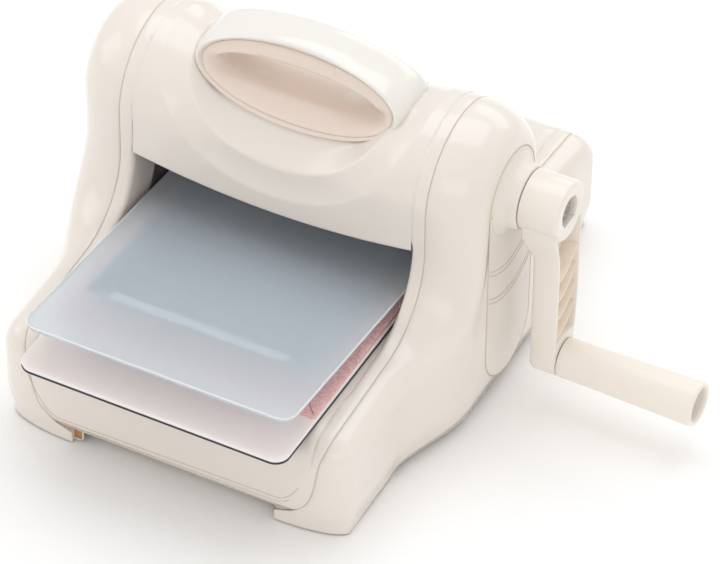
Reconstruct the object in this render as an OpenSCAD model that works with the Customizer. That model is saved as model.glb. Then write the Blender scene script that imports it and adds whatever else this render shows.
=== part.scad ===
// Hand-cranked die cutting machine: two rollers in a steel frame under moulded
// covers, a crank on the right and a sandwich of plates lying in the feed mouth.
// +X is the crank side, -Y the front, +Z up. The origin is straight below the
// rollers, on the surface that the machine stands on.

/* [Body] */
// Distance from the rollers to the front of the body
front_depth = 150; // [135:1:180]
// Distance from the rollers to the back of the body
back_depth = 143; // [130:1:175]
// Half of the body's width at the bulge of the side covers
half_width = 119; // [114:1:130]
// Distance from the middle to each seam between a side cover and the housing
seam_x = 90; // [89:0.5:94]
// Half of the clear width of the feed mouth
mouth_half = 82; // [80:0.5:84]
// Height of the deck that the plates slide on
deck_z = 63.6; // [60:0.2:72]
// Wall thickness of the moulded covers
wall = 3; // [2:0.2:3.4]
// Radius of the rounded front and back edges of the base
nose_r = 16; // [10:1:20]
// Slope of the shoulder between the base and the flare, in degrees
shoulder_slope = 5; // [3:1:15]
// Radius of the flare between the shoulder and the column
flare_r = 42; // [28:1:46]
// Height at which the flare meets the upright column
flare_z = 110; // [105:1:114]
// Distance from the middle to the side of each foot
foot_x = 103.5; // [97:0.5:108]
// Radius of the feet's outer corners
foot_corner_r = 12; // [5:1:12]
// Length of each foot along the side of the body
foot_length = 52; // [26:1:56]
// Clear height under the body between its feet
floor_gap = 9.5; // [8:0.5:12]
// Distance from the middle to the inner side of each foot
foot_inner_x = 59.5; // [50:0.5:64]

/* [Crown] */
// Height of the crank axis, which is also the centre of the crown
crank_z = 133.5; // [132:0.5:150]
// Radius of the crown and half of the column's depth
crown_r = 42.5; // [42:0.5:50]
// How far the rounding of the outer edge reaches in from the side view's outline
edge_fall = 17; // [12:1:18]
// Height of the crown's lower lip in the middle of the feed mouth
lip_z = 102.5; // [101:0.5:118]
// How much higher the lip is at its ends
lip_rise = 7.5; // [2:0.5:8]
// Depth of the finger trough under the handle
trough_depth = 17; // [12:1:20]
// Half of the trough's width
trough_half = 52; // [46:1:56]
// Depth of the scoop in the front and back of the crown
scoop_depth = 8; // [5:0.5:10]
// Radius of the scoop across the crown
scoop_r = 200; // [150:10:260]

/* [Handle] */
// Height of the handle's top above the crank axis
handle_rise = 62; // [58:0.5:70]
// Radius of the handle's outer curve
handle_r = 95; // [88:1:110]
// Thickness of the handle bar, top to bottom
handle_t = 16; // [12:0.5:18]
// Width of the handle bar, front to back
handle_w = 27; // [20:1:32]
// Half angle of the handle's curve, in degrees
handle_half_angle = 50; // [44:1:52]
// Thickness of the lining inside the handle
insert_t = 2; // [1.4:0.2:2.6]

/* [Rollers] */
// Radius of both rollers
roller_r = 15; // [12:0.5:16]
// Gap between the rollers, which the sandwich passes through
roller_gap = 14; // [13.6:0.2:18]
// Half of a roller's length
roller_half = 80; // [76:0.5:81]
// Radius of the roller shafts
shaft_r = 6; // [4:0.5:7]
// Teeth on each of the two gears that link the rollers
link_teeth = 22; // [18:1:26]
// Teeth on the crank's pinion
pinion_teeth = 15; // [14:1:18]
// Teeth on the large gear that the pinion drives
driven_teeth = 43; // [38:1:48]
// Width of every gear
gear_w = 8; // [6:0.5:9]
// Play between the gear teeth along the pitch circle
backlash = 0.5; // [0.3:0.05:0.7]

/* [Frame] */
// Thickness of the steel side plates
plate_t = 3; // [2:0.5:3]
// Radius of the tie rods
tie_r = 4; // [3:0.5:5]
// Outer radius of the bushes
bush_r = 9; // [8:0.5:10]
// Radial clearance of a shaft in its bush
run_gap = 0.05; // [0.02:0.01:0.1]
// Radial clearance of a part pushed on to a shaft or into a plate
push_gap = 0.02; // [0.01:0.01:0.05]

/* [Crank] */
// Distance from the crank axis to the grip axis
crank_throw = 100.5; // [90:0.5:115]
// Radius of the crank's hub
hub_r = 16.7; // [14:0.1:20]
// Gap between the collar on the cover and the crank's hub
hub_gap = 0.4; // [0.3:0.1:1]
// Height of the collar on the right cover
collar_h = 10; // [8:0.5:16]
// Length of the crank's hub
hub_length = 22.6; // [18:0.2:26]
// Thickness of the crank arm
arm_t = 14; // [11:0.5:16]
// Half of the crank arm's width
arm_half = 11; // [9:0.5:13]
// Depth of the ribbed pocket in the arm's outer face
pocket_depth = 9; // [6:0.5:10]
// Number of slanted ribs in the pocket
rib_count = 4; // [3:1:5]
// Length of the turning grip
grip_length = 78.5; // [70:0.5:95]
// Radius of the grip next to the arm
grip_r = 11; // [10:0.1:12]
// Radius of the grip at its free end
grip_end_r = 12.4; // [11.6:0.1:14]
// Radius of the spindle inside the grip
spindle_r = 5; // [3.5:0.5:6]

/* [Plates] */
// Half of the width of the cutting plates
plate_half = 78; // [70:0.5:79]
// Distance from the middle to the base plate's front edge
base_front = 173.5; // [150:0.5:180]
// Distance from the middle to the base plate's back edge
base_back = 64; // [50:1:90]
// Radius of the plates' corners
plate_corner_r = 8; // [4:1:12]
// Thickness of the dark sheet under the base plate
sheet_t = 1; // [0.6:0.1:1.2]
// Thickness of the base plate
base_t = 2.4; // [2:0.1:2.6]
// Thickness of the rubber embossing mat
mat_t = 2; // [1.6:0.1:2.2]
// Distance from the middle to the mat's front edge
mat_front = 137; // [120:1:140]
// Thickness of each leaf of the embossing folder
leaf_t = 0.8; // [0.6:0.1:1]
// Distance from the middle to the folder's front edge
folder_front = 118; // [100:1:125]
// Distance from the middle back to the folder's spine
spine_y = 26; // [22:1:28]
// Length of the upper cutting plate
cutting_length = 229; // [200:1:240]
// How far the cutting plate reaches back past the folder's spine
cutting_back = 36; // [28:1:37]
// Thickness of the upper cutting plate
cutting_t = 3; // [2:0.1:3.2]
// Angle at which the open folder holds the cutting plate up, in degrees
pitch = 4.8; // [4.5:0.1:5.9]

/* [Hidden] */
$fn = 72;

flare_y = -(crown_r + flare_r);
// The shoulder is a straight line that touches both the nose and the flare
function nose_z(depth) = flare_z
    - (flare_r + nose_r + (flare_y + depth - nose_r) * sin(shoulder_slope)) / cos(shoulder_slope);
front_foot_end = -(front_depth - foot_length);
back_foot_end = back_depth - foot_length;
column_flat = 36;      // half depth of the flat outer face of the column
swell_start = 96;      // the side begins to swell out this far from the middle
foot_chamfer = 8;      // run of the slope from a foot up to the body's lower edge
pad_h = 0.8;           // how far the rubber pads stand out below the feet
corner_fade = 62;      // length over which the column's rounded corners fade out
side_lift = 5;         // height of the side covers' lower edge between the feet
rim = 2.5;             // thickness of the housing's walls beside the feed mouth

lower_z = deck_z - 0.1 - roller_r;
upper_z = lower_z + 2 * roller_r + roller_gap;
link_module = 2 * (upper_z - lower_z) / (2 * link_teeth);
drive_module = 2 * (crank_z - upper_z) / (pinion_teeth + driven_teeth);
pressure_angle = 20;
addendum = 0.85;       // tooth height outside the pitch circle, in modules
dedendum = 1.2;        // tooth depth inside the pitch circle, in modules

frame_x = mouth_half + 4;            // inner face of a side plate
frame_out = frame_x + plate_t;
link_x = seam_x + 1.5;
drive_x = link_x + gear_w + 0.6;
tie_upper = [24, crank_z - 11];
tie_lower = [40, 24];
shaft_left = -(frame_out + 4);
shaft_right = drive_x + gear_w + 1;

face_x = half_width;
panel_r = 25;          // radius of the racetrack panels' round ends
panel_low_z = 37;      // centre of the panel's lower round end
panel_t = 1.5;
collar_r = panel_r - 4.5;
hub_x = face_x + collar_h + hub_gap;
hub_end = hub_x + hub_length;
arm_x = hub_end - arm_t;
screw_seat = hub_end - 6;
grip_x = hub_end + 0.5;
grip_end = grip_x + grip_length;
grip_z = crank_z - crank_throw;
cup_x = grip_end - 10.5;             // floor of the hollow in the grip's end

handle_axis_z = crank_z + handle_rise - handle_r;
handle_mid_r = handle_r - handle_t / 2;
trough_r = (trough_half * trough_half + trough_depth * trough_depth) / (2 * trough_depth);
scoop_angle = 35;
badge_angles = [-16, 16];
badge_t = 0.8;

sheet_z = deck_z + 0.2;
base_z = sheet_z + sheet_t;
mat_z = base_z + base_t;
leaf_z = mat_z + mat_t;
hinge_z = leaf_z + leaf_t + 0.15;
folder_half = 68;
upper_leaf_half = 66;
upper_leaf_length = 150;
mat_half = plate_half - 1;

post_spots = [for (x = [-48, 48], y = [-112, -58, 58, 112]) [x, y]];
post_r = 4;
screw_r = 1.5;

cream = [0.94, 0.92, 0.87];
warm_cream = [0.95, 0.90, 0.80];
steel = [0.68, 0.69, 0.71];
bronze = [0.72, 0.58, 0.36];
white_nylon = [0.88, 0.88, 0.86];
black_rubber = [0.16, 0.16, 0.17];

// ---- helpers ----

function arc(c, r, from, to, n = 20) =
    [for (i = [0:n]) let (a = from + (to - from) * i / n) [c[0] + r * cos(a), c[1] + r * sin(a)]];
function flip(points) =
    [for (i = [len(points) - 1:-1:0]) [-points[i][0], points[i][1]]];
function smooth(s) = s * s * (3 - 2 * s);

// Extrudes a shape drawn in the Y-Z plane from one X to another
module along_x(from, to) {
    translate([from, 0, 0]) rotate([90, 0, 90]) linear_extrude(to - from) children();
}

module rod_x(from, to, r, y = 0, z = 0) {
    translate([from, y, z]) rotate([0, 90, 0]) cylinder(h = to - from, r = r);
}

module on_both_sides() {
    children();
    mirror([1, 0, 0]) children();
}

// Side view of half the body: base, shoulder, flare, column and crown, inset by t
function bell_half(t, depth) = concat(
    arc([-depth + nose_r, nose_z(depth)], nose_r - t, 180, 90 + shoulder_slope),
    arc([flare_y, flare_z], flare_r + t, -90 + shoulder_slope, 0),
    arc([0, crank_z], crown_r - t, 180, 90, 32));

module bell(t, low) {
    polygon(concat([[-front_depth + t, low]], bell_half(t, front_depth), flip(bell_half(t, back_depth)),
        [[back_depth - t, low]]));
}

// The lower edge of a side cover stands on its feet and lifts between them
module lifted(t) {
    difference() {
        bell(t, pad_h + t);
        polygon([[front_foot_end, -1], [front_foot_end + t * 0.4, pad_h + t],
            [front_foot_end + foot_chamfer, side_lift + t], [back_foot_end - foot_chamfer, side_lift + t],
            [back_foot_end - t * 0.4, pad_h + t], [back_foot_end, -1]]);
    }
}

// Top view of one half of the right side cover
function plan_half(t, depth) = concat(
    [[seam_x - 1, -depth + t]],
    arc([foot_x - foot_corner_r, -depth + foot_corner_r], foot_corner_r - t, -90, 0, 8),
    [for (i = [0:12]) let (s = i / 12)
        [foot_x - t + (half_width - foot_x) * smooth(s), -swell_start + (swell_start - column_flat) * s]]);

module plan(t) {
    back = plan_half(t, back_depth);
    polygon(concat(plan_half(t, front_depth),
        [for (i = [len(back) - 1:-1:0]) [back[i][0], -back[i][1]]]));
}

// The rounded outer edge, as points of depth below the outline and distance from the middle
function edge(t) = [for (i = [2:14]) let (a = 90 * i / 16)
    [t + edge_fall * (1 - cos(a)), seam_x + (half_width - seam_x - t) * sin(a)]];
function edge_start(t) = [t, seam_x + 3];
function edge_end(t) = [t + edge_fall * 0.9, half_width - t];

// The crown's end is turned: its radius falls off towards the outer face
module crown_end(t, from) {
    turned_about(0, crank_z, 0, 180) polygon(concat([[0, from], [crown_r - t, from]],
        [for (p = concat([edge_start(t)], edge(t), [edge_end(t)])) [crown_r - p[0], p[1]]],
        [[0, half_width - t]]));
}

// Turns a shape of [radius, X] about an axis along X; the angles run from +Y to +Z
module turned_about(y, z, from, angle) {
    translate([0, y, z]) rotate([0, 90, 0]) rotate([0, 0, 90 + from]) rotate_extrude(angle = angle) children();
}

// Rounds the column's outer corners; the rounding narrows down to nothing on the flare
module corner_cuts(t) {
    far = [-9, half_width + 3];
    curve = concat([1.5 * edge_start(t) - 0.5 * edge(t)[0]], edge(t), [1.5 * edge_end(t) - 0.5 * edge(t)[12]]);
    points = [for (p = concat([[far[0], curve[0][1]]], curve, [[curve[14][0], far[1]], far]))
        [p[1] - far[1], p[0] - far[0]]];
    for (s = [0, 1]) mirror([0, s, 0]) translate([far[1], far[0] - crown_r, crank_z]) {
        linear_extrude(1) polygon(points);
        mirror([0, 0, 1]) linear_extrude(corner_fade, scale = 0.05) polygon(points);
    }
}

module side_cover_form(t, from) {
    difference() {
        intersection() {
            along_x(from, half_width - t) intersection() {
                lifted(t);
                translate([-front_depth, 0]) square([front_depth + back_depth, crank_z]);
            }
            translate([0, 0, -1]) linear_extrude(crank_z + 2) plan(t);
        }
        corner_cuts(t);
    }
    crown_end(t, from);
}

// Racetrack outline of the side panels, in the Y-Z plane
module racetrack(r) {
    translate([0, crank_z]) circle(r);
    translate([0, panel_low_z]) circle(r);
    translate([-r, panel_low_z]) square([2 * r, crank_z - panel_low_z]);
}

module side_cover() {
    difference() {
        union() {
            side_cover_form(0, seam_x);
            for (s = [-1, 1]) foot_block(s);
        }
        side_cover_form(wall, seam_x - 0.5);
        along_x(face_x - panel_t, face_x + 1) racetrack(panel_r);
        for (s = [-1, 1]) pad_seat(s);
    }
}

// The part of a foot that reaches in under the front or back of the base
module foot_block(side) {
    low = side < 0 ? 1 - front_depth : back_foot_end;
    translate([foot_inner_x, low, pad_h])
        cube([seam_x - foot_inner_x + 2, foot_length - 1, floor_gap - pad_h]);
}

function pad_spot(side) = [(foot_inner_x + seam_x) / 2,
    side < 0 ? front_foot_end - foot_length / 2 : back_foot_end + foot_length / 2];

module pad_seat(side) {
    translate([pad_spot(side)[0], pad_spot(side)[1], -1]) cylinder(h = 1 + pad_h + 2, r = 12);
}

// ---- covers and body ----

module left_side_cover() {
    color(cream) mirror([1, 0, 0]) side_cover();
}

module right_side_cover() {
    color(cream) difference() {
        side_cover();
        rod_x(seam_x, face_x + 1, bush_r + push_gap, 0, crank_z);
    }
}

// The scooped crown, drawn as a solid that is inset by t
module crown_form(t) {
    far = crown_r - scoop_depth + scoop_r;
    difference() {
        along_x(-mouth_half - 1, mouth_half + 1) intersection() {
            polygon(concat([[-crown_r + t, lip_z - 3]], arc([0, crank_z], crown_r - t, 180, 0, 64),
                [[crown_r - t, lip_z - 3]]));
            translate([-crown_r, lip_z - t * 2])
                square([2 * crown_r, crank_z + crown_r + 1 - lip_z + t * 2]);
        }
        for (s = [-1, 1])
            translate([0, s * far * cos(scoop_angle), crank_z + far * sin(scoop_angle)])
                rotate([s * scoop_angle, 0, 0]) cylinder(h = 150, r = scoop_r + t, center = true, $fn = 180);
        translate([0, 0, crank_z + crown_r - trough_depth + trough_r])
            rotate([90, 0, 0]) cylinder(h = 150, r = trough_r + t, center = true, $fn = 120);
    }
}

module centre_housing() {
    lip_r = (mouth_half * mouth_half + lip_rise * lip_rise) / (2 * lip_rise);
    color(cream) union() {
        // the crown with its bowed lower lip
        intersection() {
            difference() {
                crown_form(0);
                crown_form(wall);
            }
            translate([0, 0, lip_z + lip_r]) rotate([90, 0, 0])
                cylinder(h = 3 * crown_r, r = lip_r, center = true, $fn = 240);
        }
        // the cheeks on both sides of the mouth
        on_both_sides() difference() {
            along_x(mouth_half, seam_x) bell(0, floor_gap);
            along_x(mouth_half + rim, seam_x + 1) bell(wall, floor_gap - 1);
            for (z = [lower_z, upper_z]) rod_x(mouth_half - 1, seam_x, shaft_r + 1.5, 0, z);
            for (s = [-1, 1], t = [tie_upper, tie_lower])
                rod_x(mouth_half - 1, seam_x, tie_r + 0.4, s * t[0], t[1]);
        }
    }
}

module base_tray() {
    top = deck_z;
    slot = roller_r - 4;
    tray_side = mouth_half - 0.2;
    slot_half = roller_half + 0.6;
    function tray_half(t, depth) = arc([-depth + nose_r, top - nose_r], nose_r - t, 180, 90);
    color(cream) difference() {
        union() {
            along_x(-tray_side, tray_side) difference() {
                polygon(concat([[-front_depth, floor_gap]], tray_half(0, front_depth),
                    flip(tray_half(0, back_depth)), [[back_depth, floor_gap]]));
                polygon(concat([[-front_depth + wall, floor_gap - 1]], tray_half(wall, front_depth),
                    flip(tray_half(wall, back_depth)), [[back_depth - wall, floor_gap - 1]]));
            }
            for (p = post_spots) translate([p[0], p[1], floor_gap])
                cylinder(h = top - floor_gap - 1, r = post_r);
        }
        translate([-slot_half, -slot, top - wall - 1]) cube([2 * slot_half, 2 * slot, wall + 2]);
        for (p = post_spots) translate([p[0], p[1], floor_gap - 1]) cylinder(h = 11, r = screw_r + 0.1);
    }
}

module base_floor() {
    thick = 3;
    color(white_nylon) difference() {
        union() {
            translate([-foot_inner_x + 0.8, -front_depth + wall + 1, floor_gap - thick])
                cube([2 * foot_inner_x - 1.6, front_depth + back_depth - 2 * wall - 2, thick]);
            translate([-seam_x + 0.5, front_foot_end + 2, floor_gap - thick])
                cube([2 * seam_x - 1, back_foot_end - front_foot_end - 4, thick]);
        }
        for (p = post_spots) translate([p[0], p[1], 0]) cylinder(h = floor_gap + 1, r = screw_r + 0.1);
    }
}

module corner_pads() {
    color(black_rubber) on_both_sides() for (s = [-1, 1])
        translate([pad_spot(s)[0], pad_spot(s)[1], 0]) cylinder(h = pad_h + 2, r = 12 - push_gap);
}

module centre_pad() {
    color(black_rubber) cylinder(h = floor_gap - 3, r = 16);
}

module floor_screws() {
    color(steel) for (p = post_spots) translate([p[0], p[1], floor_gap - 3]) {
        translate([0, 0, -1.6]) cylinder(h = 1.6, r = 3.5);
        cylinder(h = 10, r = screw_r);
    }
}

module side_panel() {
    along_x(face_x - panel_t, face_x) racetrack(panel_r - push_gap);
}

module left_side_panel() {
    color(cream) mirror([1, 0, 0]) side_panel();
}

module right_side_panel() {
    color(cream) difference() {
        side_panel();
        rod_x(seam_x, face_x + 1, bush_r + push_gap, 0, crank_z);
    }
}

// ---- carry handle ----

// Sweeps a shape around the handle's curve; the shape's x is the radius, y points to the front
module handle_sweep(from, to) {
    translate([0, 0, handle_axis_z]) rotate([90, 0, 0]) rotate([0, 0, 90 + from])
        rotate_extrude(angle = to - from, $fn = 180) children();
}

module bar_section(grow) {
    r = 6 + grow;
    for (x = [-1, 1], y = [-1, 1])
        translate([handle_mid_r + x * (handle_t / 2 - 6), y * (handle_w / 2 - 6)]) circle(r, $fn = 32);
    square_at(handle_mid_r, handle_t + 2 * grow, handle_w - 12);
    square_at(handle_mid_r, handle_t - 12, handle_w + 2 * grow);
}

module square_at(x, w, h) {
    translate([x - w / 2, -h / 2]) square([w, h]);
}

module badge_shape(grow) {
    translate([handle_mid_r - 4.5 - grow, handle_w / 2 - badge_t - grow])
        square([9 + 2 * grow, badge_t + 1]);
}

module carry_handle() {
    color(cream) difference() {
        handle_sweep(-handle_half_angle, handle_half_angle) bar_section(0);
        crown_form(0);
        along_x(-3 * half_width, 3 * half_width) translate([-crown_r, 0])
            square([2 * crown_r, handle_axis_z + handle_r * cos(handle_half_angle + 1)]);
        handle_sweep(badge_angles[0] - 0.1, badge_angles[1] + 0.1) badge_shape(0.05);
    }
}

module handle_insert() {
    color(cream) difference() {
        handle_sweep(-34, 34) translate([handle_r - handle_t - insert_t, -handle_w / 2 + 6])
            square([insert_t, handle_w - 12]);
        crown_form(0);
    }
}

module handle_badge() {
    color(cream) intersection() {
        handle_sweep(badge_angles[0], badge_angles[1]) badge_shape(0);
        translate([-half_width, -handle_w / 2, 0]) cube([2 * half_width, handle_w, 2 * crank_z]);
    }
}

// ---- steel frame ----

module frame_outline() {
    polygon([[-52, floor_gap], [52, floor_gap], [52, 60], [36, 96], [36, crank_z - 9],
        [22, crank_z + 15], [-22, crank_z + 15], [-36, crank_z - 9], [-36, 96], [-52, 60]]);
}

module frame_plate(crank_bore) {
    difference() {
        along_x(frame_x, frame_out) frame_outline();
        for (z = crank_bore ? [lower_z, upper_z, crank_z] : [lower_z, upper_z])
            rod_x(frame_x - 1, frame_out + 1, bush_r + push_gap, 0, z);
        for (s = [-1, 1], t = [tie_upper, tie_lower])
            rod_x(frame_x - 1, frame_out + 1, tie_r - 1 + push_gap, s * t[0], t[1]);
    }
}

module left_frame_plate() {
    color(steel) mirror([1, 0, 0]) frame_plate(false);
}

module right_frame_plate() {
    color(steel) frame_plate(true);
}

module tie_rods() {
    color(steel) for (s = [-1, 1], t = [tie_upper, tie_lower]) {
        rod_x(-frame_x, frame_x, tie_r, s * t[0], t[1]);
        rod_x(-frame_out - 3, frame_out + 3, tie_r - 1, s * t[0], t[1]);
    }
}

module tie_rod_nuts() {
    color(steel) on_both_sides() for (s = [-1, 1], t = [tie_upper, tie_lower]) difference() {
        translate([frame_out, s * t[0], t[1]]) rotate([0, 90, 0]) cylinder(h = 2.6, r = tie_r + 1.6, $fn = 6);
        rod_x(frame_out - 1, frame_out + 4, tie_r - 1 + push_gap, s * t[0], t[1]);
    }
}

module bush(from, to, bore) {
    difference() {
        rod_x(from, to, bush_r, 0, 0);
        rod_x(from - 1, to + 1, bore, 0, 0);
    }
}

module roller_bushes(z) {
    on_both_sides() translate([0, 0, z]) bush(frame_x, frame_out + 1, shaft_r + run_gap);
}

module upper_roller_bushes() {
    color(bronze) roller_bushes(upper_z);
}

module lower_roller_bushes() {
    color(bronze) roller_bushes(lower_z);
}

module crank_bushes() {
    color(bronze) translate([0, 0, crank_z]) {
        bush(frame_x, frame_out + 1, shaft_r + run_gap);
        bush(face_x - wall - 2, face_x + collar_h - 1, shaft_r + run_gap);
    }
}

module crank_collar() {
    color(cream) difference() {
        translate([face_x, 0, crank_z]) rotate([0, 90, 0]) cylinder(h = collar_h, r1 = collar_r, r2 = hub_r + 0.6);
        rod_x(face_x - 1, face_x + collar_h + 1, bush_r + push_gap, 0, crank_z);
    }
}

// ---- gears ----

function involute(a) = tan(a) * 180 / PI - a;

// Half of a tooth's angular width at radius r
function tooth_half(r, teeth, pitch_r) =
    let (base_r = pitch_r * cos(pressure_angle))
    90 / teeth + involute(pressure_angle) - involute(acos(min(1, base_r / max(r, base_r))))
        - backlash / (4 * pitch_r) * 180 / PI;

function tooth_points(teeth, module_size, at) =
    let (
        pitch_r = teeth * module_size / 2,
        tip_r = pitch_r + addendum * module_size,
        root_r = pitch_r - dedendum * module_size,
        base_r = max(pitch_r * cos(pressure_angle), root_r + 0.05),
        radii = [for (i = [0:4]) base_r + (tip_r - base_r) * i / 4],
        root_half = tooth_half(base_r, teeth, pitch_r) * 0.85)
    concat(
        [[root_r, at - root_half]],
        [for (r = radii) [r, at - tooth_half(r, teeth, pitch_r)]],
        [for (i = [4:-1:0]) [radii[i], at + tooth_half(radii[i], teeth, pitch_r)]],
        [[root_r, at + root_half]]);

// A spur gear in the Y-Z plane with a tooth centred on the angle at
module gear_shape(teeth, module_size, at) {
    polygon([for (i = [0:teeth - 1], p = tooth_points(teeth, module_size, at + i * 360 / teeth))
        [p[0] * cos(p[1]), p[0] * sin(p[1])]]);
}

module gear(from, teeth, module_size, at, z) {
    difference() {
        along_x(from, from + gear_w) translate([0, z]) gear_shape(teeth, module_size, at);
        rod_x(from - 1, from + gear_w + 1, shaft_r + push_gap, 0, z);
    }
}

// ---- rollers ----

module roller(z) {
    difference() {
        rod_x(-roller_half, roller_half, roller_r, 0, z);
        rod_x(-roller_half - 1, roller_half + 1, shaft_r + push_gap, 0, z);
    }
}

module shaft_clips(z, right_end) {
    for (x = [shaft_left + 0.6, right_end]) difference() {
        rod_x(x, x + 1.2, shaft_r + 2.5, 0, z);
        rod_x(x - 1, x + 2, shaft_r + push_gap, 0, z);
    }
}

module upper_roller() {
    color(steel) roller(upper_z);
}

module upper_shaft() {
    color(steel) rod_x(shaft_left, shaft_right + 2, shaft_r, 0, upper_z);
}

module upper_link_gear() {
    color(white_nylon) gear(link_x, link_teeth, link_module, 270, upper_z);
}

module driven_gear() {
    color(white_nylon) gear(drive_x, driven_teeth, drive_module, 90, upper_z);
}

module upper_shaft_clips() {
    color(steel) shaft_clips(upper_z, shaft_right);
}

module lower_roller() {
    color(steel) roller(lower_z);
}

module lower_shaft() {
    color(steel) rod_x(shaft_left, link_x + gear_w + 3, shaft_r, 0, lower_z);
}

module lower_link_gear() {
    color(white_nylon) gear(link_x, link_teeth, link_module, 90 + 180 / link_teeth, lower_z);
}

module lower_shaft_clips() {
    color(steel) shaft_clips(lower_z, link_x + gear_w + 0.6);
}

// ---- crank ----

module crank_shaft() {
    color(steel) difference() {
        rod_x(frame_x - 0.8, screw_seat, shaft_r, 0, crank_z);
        rod_x(screw_seat - 12, screw_seat + 1, 2 + push_gap, 0, crank_z);
    }
}

module crank_pinion() {
    color(white_nylon) gear(drive_x, pinion_teeth, drive_module, 270 + 180 / pinion_teeth, crank_z);
}

module arm_outline(inset) {
    waist = crank_z - hub_r - 9;
    translate([0, grip_z]) circle(arm_half - inset);
    translate([-arm_half + inset, grip_z]) square([2 * (arm_half - inset), waist - grip_z]);
    polygon([[-arm_half + inset, waist - 1], [arm_half - inset, waist - 1],
        [hub_r - 1 - inset, crank_z - 6], [-hub_r + 1 + inset, crank_z - 6]]);
}

module crank_arm() {
    pocket_low = grip_z + grip_r + 5;
    pocket_high = crank_z - hub_r - 2;
    rib_step = (pocket_high - pocket_low) / (rib_count + 0.6);
    color(cream) difference() {
        union() {
            rod_x(hub_x, hub_end, hub_r, 0, crank_z);
            along_x(arm_x, hub_end) arm_outline(0);
        }
        // the pocket, left standing where the ribs are
        along_x(hub_end - pocket_depth, hub_end + 1) difference() {
            intersection() {
                arm_outline(2);
                translate([-arm_half, pocket_low]) square([2 * arm_half, pocket_high - pocket_low]);
            }
            for (i = [1:rib_count])
                translate([0, pocket_low + i * rib_step]) rotate(28) square([3 * arm_half, 1.5], center = true);
        }
        rod_x(hub_x - 1, screw_seat, shaft_r + push_gap, 0, crank_z);
        rod_x(screw_seat, hub_end + 1, 9, 0, crank_z);
        rod_x(arm_x + 2, hub_end + 1, spindle_r + push_gap, 0, grip_z);
    }
}

module crank_washer() {
    color(steel) difference() {
        rod_x(screw_seat, screw_seat + 1.2, 8, 0, crank_z);
        rod_x(screw_seat - 1, screw_seat + 2, 2.2, 0, crank_z);
    }
}

module crank_screw() {
    color(steel) difference() {
        union() {
            rod_x(screw_seat - 10, screw_seat + 1.2, 2, 0, crank_z);
            rod_x(screw_seat + 1.2, screw_seat + 4, 4.2, 0, crank_z);
        }
        for (a = [0, 90]) translate([screw_seat + 3.2, 0, crank_z]) rotate([a, 0, 0])
            cube([2.4, 5, 1.1], center = true);
    }
}

module grip_spindle() {
    color(steel) {
        rod_x(arm_x + 2.1, cup_x + 0.5, spindle_r, 0, grip_z);
        rod_x(cup_x + 0.5, cup_x + 3, spindle_r + 2.4, 0, grip_z);
    }
}

module crank_grip() {
    color(warm_cream) difference() {
        translate([0, 0, grip_z]) rotate([0, 90, 0]) rotate_extrude() polygon([
            [0, grip_x], [grip_r - 0.8, grip_x], [grip_r, grip_x + 0.8],
            [grip_end_r, grip_end - 2.5], [grip_end_r - 0.6, grip_end - 0.6], [grip_end_r - 2, grip_end],
            [0, grip_end]]);
        rod_x(grip_x - 1, cup_x + 1, spindle_r + run_gap, 0, grip_z);
        rod_x(cup_x, grip_end + 1, grip_end_r - 3.2, 0, grip_z);
    }
}

// ---- plates ----

// A flat sheet with round corners, from one Y to another
module sheet(half, from, to, r, low, thick) {
    translate([0, 0, low]) linear_extrude(thick) {
        translate([-half + r, from]) square([2 * (half - r), to - from]);
        translate([-half, from + r]) square([2 * half, to - from - 2 * r]);
        for (x = [-half + r, half - r], y = [from + r, to - r]) translate([x, y]) circle(r);
    }
}

module base_sheet() {
    color([0.22, 0.25, 0.32]) sheet(plate_half, -base_front, base_back, plate_corner_r, sheet_z, sheet_t);
}

module base_plate() {
    color([0.80, 0.77, 0.76, 0.9])
        sheet(plate_half - 0.3, -base_front + 0.3, base_back - 0.3, plate_corner_r - 0.3, base_z, base_t);
}

module embossing_mat() {
    color([0.86, 0.58, 0.60]) sheet(mat_half, -mat_front, spine_y - 4, 1, mat_z, mat_t);
}

module folder_lower_leaf() {
    color([0.62, 0.68, 0.76, 0.6]) sheet(folder_half, -folder_front, spine_y, 3, leaf_z, leaf_t);
}

// Pieces that the open folder holds up, drawn flat with the spine at Y = 0
module pitched() {
    translate([0, spine_y, hinge_z]) rotate([-pitch, 0, 0]) children();
}

module folder_upper_leaf() {
    color([0.62, 0.68, 0.76, 0.6]) pitched() sheet(upper_leaf_half, -upper_leaf_length, 0, 3, 0, leaf_t);
}

module cutting_plate() {
    color([0.78, 0.83, 0.88, 0.5]) pitched()
        sheet(plate_half, cutting_back - cutting_length, cutting_back, plate_corner_r, leaf_t, cutting_t);
}

left_side_cover();
right_side_cover();
centre_housing();
base_tray();
base_floor();
carry_handle();
handle_insert();
handle_badge();
left_side_panel();
right_side_panel();
left_frame_plate();
right_frame_plate();
tie_rods();
tie_rod_nuts();
upper_roller_bushes();
lower_roller_bushes();
crank_bushes();
crank_collar();
corner_pads();
centre_pad();
floor_screws();
upper_roller();
upper_shaft();
upper_link_gear();
driven_gear();
upper_shaft_clips();
lower_roller();
lower_shaft();
lower_link_gear();
lower_shaft_clips();
crank_arm();
crank_shaft();
crank_pinion();
crank_washer();
crank_screw();
grip_spindle();
crank_grip();
base_sheet();
base_plate();
embossing_mat();
folder_lower_leaf();
folder_upper_leaf();
cutting_plate();
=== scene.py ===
import math
import bpy
import bmesh
from mathutils import Matrix, Vector


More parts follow.
